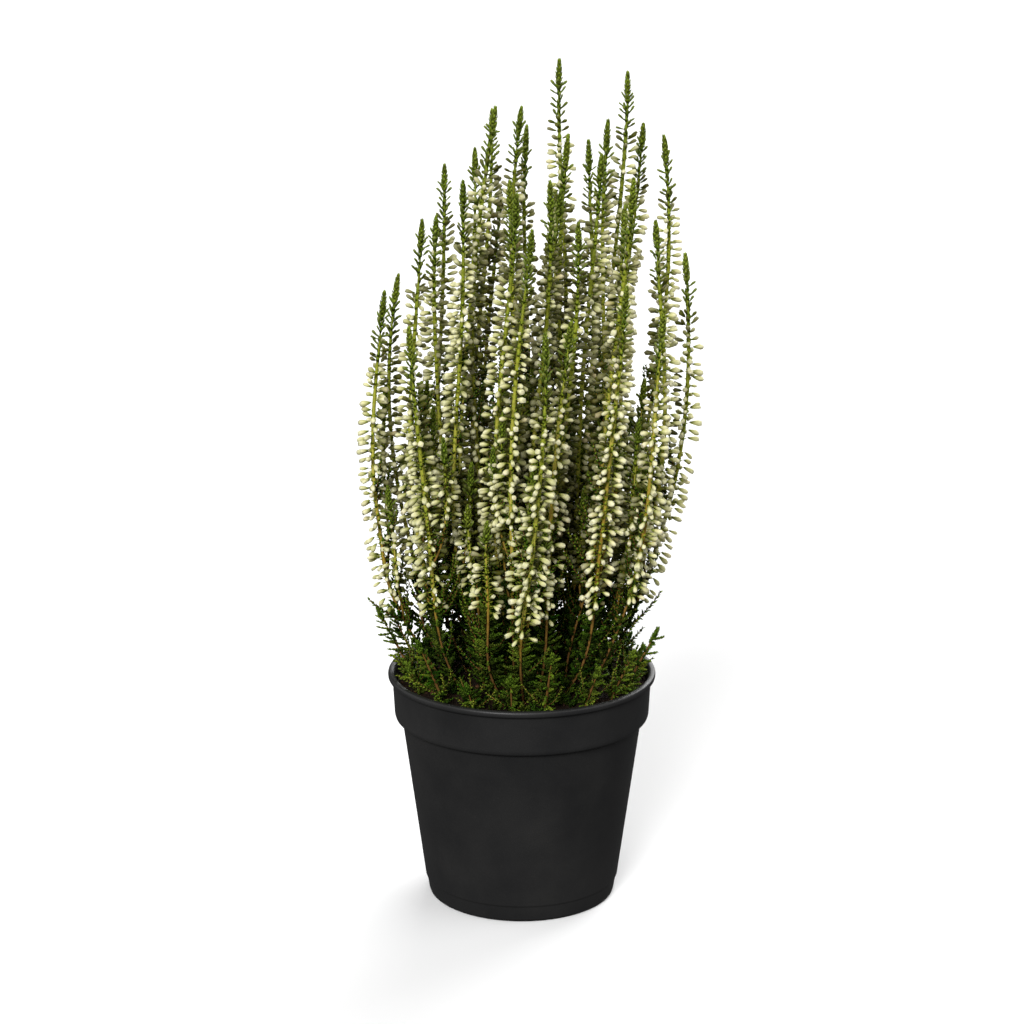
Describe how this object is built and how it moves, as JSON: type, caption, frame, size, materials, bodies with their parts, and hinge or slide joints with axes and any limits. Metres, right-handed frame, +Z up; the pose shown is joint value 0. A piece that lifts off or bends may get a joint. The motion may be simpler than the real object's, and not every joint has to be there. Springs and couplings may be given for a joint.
{
  "type": "potted heather",
  "caption": "Round nursery pot of soil with an upright bush of bud-blooming heather: cream-budded sprays, green-tipped and leafy at the foot, above leafy shoots round the rim.",
  "frame": {"origin": "centre of the flat disc in the middle of the pot's base, which is the surface that the pot stands on", "axes": "+Z up along the pot's axis, the bush's front towards -Y, +X to the right"},
  "size_m": [0.1371, 0.1323, 0.3421],
  "materials": {
    "pot_plastic": "satin",
    "soil": "matte",
    "buds": "satin",
    "foliage": "satin"
  },
  "bodies": {
    "root": {"pot": "pot_plastic", "soil": "soil", "spray_01": "buds", "spray_02": "buds", "spray_03": "buds", "spray_04": "buds", "spray_05": "buds", "spray_06": "buds", "spray_07": "buds", "spray_08": "buds", "spray_09": "buds", "spray_10": "buds", "spray_11": "buds", "spray_12": "buds", "spray_13": "buds", "spray_14": "buds", "spray_15": "buds", "spray_16": "buds", "spray_17": "buds", "spray_18": "buds", "spray_19": "buds", "spray_20": "buds", "spray_21": "buds", "spray_22": "buds", "spray_23": "buds", "spray_24": "buds", "spray_25": "buds", "spray_26": "buds", "spray_27": "buds", "spray_28": "buds", "spray_29": "buds", "spray_30": "buds", "spray_31": "buds", "spray_32": "buds", "spray_33": "buds", "spray_34": "buds", "spray_35": "buds", "spray_36": "buds", "spray_37": "buds", "spray_38": "buds", "spray_39": "buds", "spray_40": "buds", "leafy_shoot_01": "foliage", "leafy_shoot_02": "foliage", "leafy_shoot_03": "foliage", "leafy_shoot_04": "foliage", "leafy_shoot_05": "foliage", "leafy_shoot_06": "foliage", "leafy_shoot_07": "foliage", "leafy_shoot_08": "foliage", "leafy_shoot_09": "foliage", "leafy_shoot_10": "foliage", "leafy_shoot_11": "foliage", "leafy_shoot_12": "foliage", "leafy_shoot_13": "foliage", "leafy_shoot_14": "foliage", "leafy_shoot_15": "foliage", "leafy_shoot_16": "foliage", "leafy_shoot_17": "foliage", "leafy_shoot_18": "foliage"}
  },
  "joints": []
}
